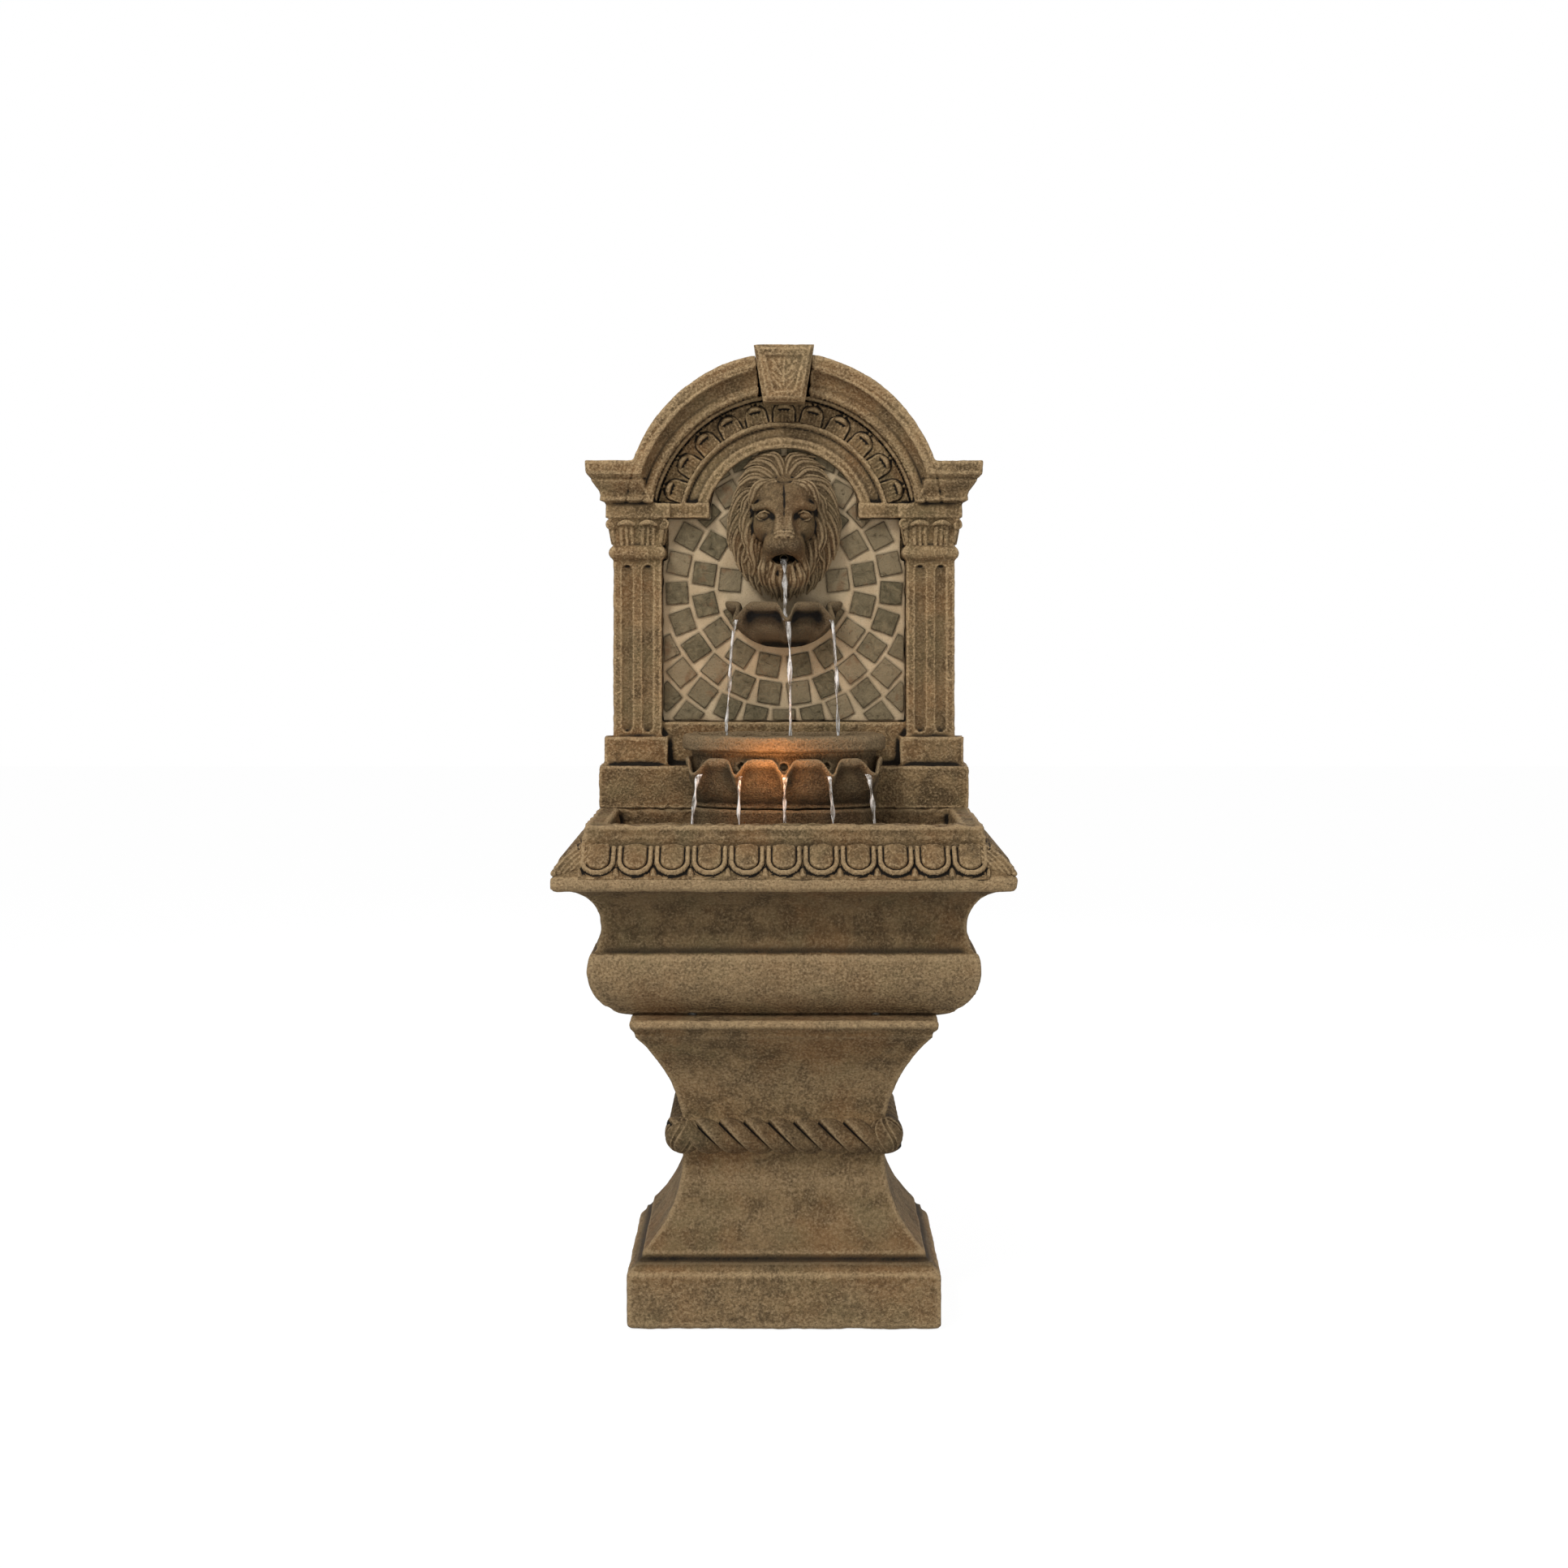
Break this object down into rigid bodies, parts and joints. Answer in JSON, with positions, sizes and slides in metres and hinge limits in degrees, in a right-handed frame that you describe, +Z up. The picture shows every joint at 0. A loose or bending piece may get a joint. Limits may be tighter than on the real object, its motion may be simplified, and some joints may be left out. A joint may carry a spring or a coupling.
{
  "type": "garden floor fountain",
  "caption": "Free-standing garden fountain: moulded pedestal and trough, arched mosaic back panel, lion mask spout and tiered spill bowls fed by a submerged pump.",
  "frame": {"origin": "on the floor, under the middle of the overall box", "axes": "+Z up, front towards -Y, +X to the right seen from the front"},
  "size_m": [0.5968, 0.3938, 1.2954],
  "materials": {
    "cast_stone": "weathered cast stone, matt, with dark wash in the hollows",
    "grout": "pale matt grout",
    "slate": "riven grey-green slate, matt",
    "pump_black": "black moulded plastic",
    "dial_grey": "grey moulded plastic",
    "ceramic_pin": "ground ceramic",
    "magnet_rotor": "plastic-bound magnet",
    "clear_hose": "soft translucent vinyl",
    "steel": "zinc-plated steel",
    "stainless": "stainless steel",
    "white_fitting": "white plastic pipe fitting",
    "brass_pipe": "dull brass",
    "black_rubber": "black rubber",
    "light_black": "black moulded plastic",
    "amber_lamp": "warm lamp board",
    "lens_glass": "clear glass",
    "cover_board": "grey-brown composite board",
    "dowel_plastic": "grey plastic"
  },
  "bodies": {
    "fountain": {"pedestal": "cast_stone", "basin": "cast_stone", "basin_back": "cast_stone", "back_panel": "cast_stone", "keystone": "cast_stone", "lion_mask": "cast_stone", "upper_bowl": "cast_stone", "collector_drum": "cast_stone", "spill_bowl": "cast_stone", "mosaic_bed": "grout", "slate_tiles": "slate", "locating_dowels": "dowel_plastic", "panel_bolts": "steel", "rear_cover": "cover_board", "rear_cover_screws": "stainless", "pump_body": "pump_black", "pump_strainer": "pump_black", "pump_shaft": "ceramic_pin", "pump_outlet": "dial_grey", "pump_feet": "black_rubber", "riser_hose": "clear_hose", "hose_clamps": "stainless", "spout_elbow": "white_fitting", "spout_pipe": "brass_pipe", "drain_bush": "dial_grey", "light_bracket": "stainless", "light_foot": "black_rubber", "cord_grommet": "black_rubber"},
    "pump_rotor": {"pump_impeller": "magnet_rotor"},
    "flow_dial": {"pump_flow_dial": "dial_grey"},
    "drain_stopper": {"drain_plug": "black_rubber"},
    "light_head": {"light_body": "light_black", "light_led": "amber_lamp", "light_lens": "lens_glass", "light_bezel": "light_black", "light_pivot_screws": "stainless"},
    "pump_shroud": {"pump_cover": "cast_stone"}
  },
  "joints": [
    {"name": "impeller_spin", "type": "hinge", "parent": "fountain", "child": "pump_rotor", "pos_m": [0, 0.045, 0.467], "axis": [0, -1, 0], "continuous": true},
    {"name": "flow_dial_turn", "type": "hinge", "parent": "fountain", "child": "flow_dial", "pos_m": [0, 0.02, 0.467], "axis": [0, -1, 0], "range_deg": [-45, 45]},
    {"name": "drain_plug_pull", "type": "slide", "parent": "fountain", "child": "drain_stopper", "axis": [0, 1, 0], "range_m": [0, 0.04]},
    {"name": "light_tilt", "type": "hinge", "parent": "fountain", "child": "light_head", "pos_m": [-0.03, -0.08285, 0.48], "axis": [1, 0, 0], "range_deg": [-35, 55]},
    {"name": "pump_cover_slide", "type": "slide", "parent": "fountain", "child": "pump_shroud", "axis": [0, -1, 0], "range_m": [0, 0.05]}
  ]
}
